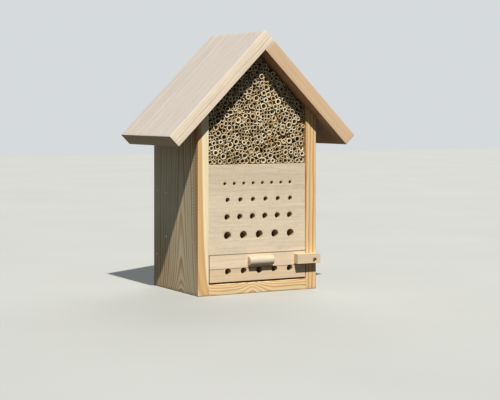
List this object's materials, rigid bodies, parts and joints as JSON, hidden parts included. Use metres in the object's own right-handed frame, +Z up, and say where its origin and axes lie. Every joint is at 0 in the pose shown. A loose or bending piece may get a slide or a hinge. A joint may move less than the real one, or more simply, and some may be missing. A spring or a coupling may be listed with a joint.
{
  "type": "insect hotel",
  "caption": "Gabled wooden insect hotel packed with reed stems over a drilled nesting block, with a grooved drawer tray, lid, dowel handle and a wooden turn latch.",
  "frame": {"origin": "middle of the bounding box's footprint, on the underside of the base", "axes": "+Z up, +Y towards the back panel, +X to the right as seen from the front"},
  "size_m": [0.3154, 0.177, 0.3937],
  "materials": {
    "pine_side": "planed, untreated pine with strong growth rings",
    "pine_base": "planed, untreated pine with flame grain",
    "pine_back": "planed, untreated pine",
    "pine_roof": "sawn softwood, slightly greyed",
    "beech": "smooth, untreated beech",
    "dowel": "smooth pale hardwood dowel",
    "reed": "dry cut reed, straw coloured",
    "zinc": "zinc plated",
    "nail": "bright steel",
    "clear_sheet": "clear acrylic"
  },
  "bodies": {
    "house": {"left_side": "pine_side", "right_side": "pine_side", "base_board": "pine_base", "back_panel": "pine_back", "roof_left": "pine_roof", "roof_right": "pine_roof", "nest_board_1": "beech", "nest_board_2": "beech", "nest_board_3": "beech", "nest_board_4": "beech", "drawer_lid": "beech", "lid_runner_left": "pine_side", "lid_runner_right": "pine_side", "lid_handle": "dowel", "handle_pins": "dowel", "latch_screw": "zinc", "hanger_plate": "zinc", "hanger_screws": "zinc", "base_brads": "nail", "block_brads": "nail", "back_brads": "nail", "roof_dowels": "dowel", "ridge_dowels": "dowel", "reed_course_01": "reed", "reed_course_02": "reed", "reed_course_03": "reed", "reed_course_04": "reed", "reed_course_05": "reed", "reed_course_06": "reed", "reed_course_07": "reed", "reed_course_08": "reed", "reed_course_09": "reed", "reed_course_10": "reed", "reed_course_11": "reed", "reed_course_12": "reed", "reed_course_13": "reed", "reed_course_14": "reed", "reed_course_15": "reed", "reed_course_16": "reed", "reed_course_17": "reed", "reed_course_18": "reed", "reed_course_19": "reed", "reed_course_20": "reed"},
    "tray": {"drawer_tray": "beech", "tray_window": "clear_sheet"},
    "latch": {"turn_latch": "beech"}
  },
  "joints": [
    {"name": "tray_slide", "type": "slide", "parent": "house", "child": "tray", "axis": [0, -1, 0], "range_m": [0, 0.125]},
    {"name": "latch_turn", "type": "hinge", "parent": "house", "child": "latch", "pos_m": [0.0925, -0.0723, 0.045], "axis": [0, 1, 0], "continuous": true}
  ]
}
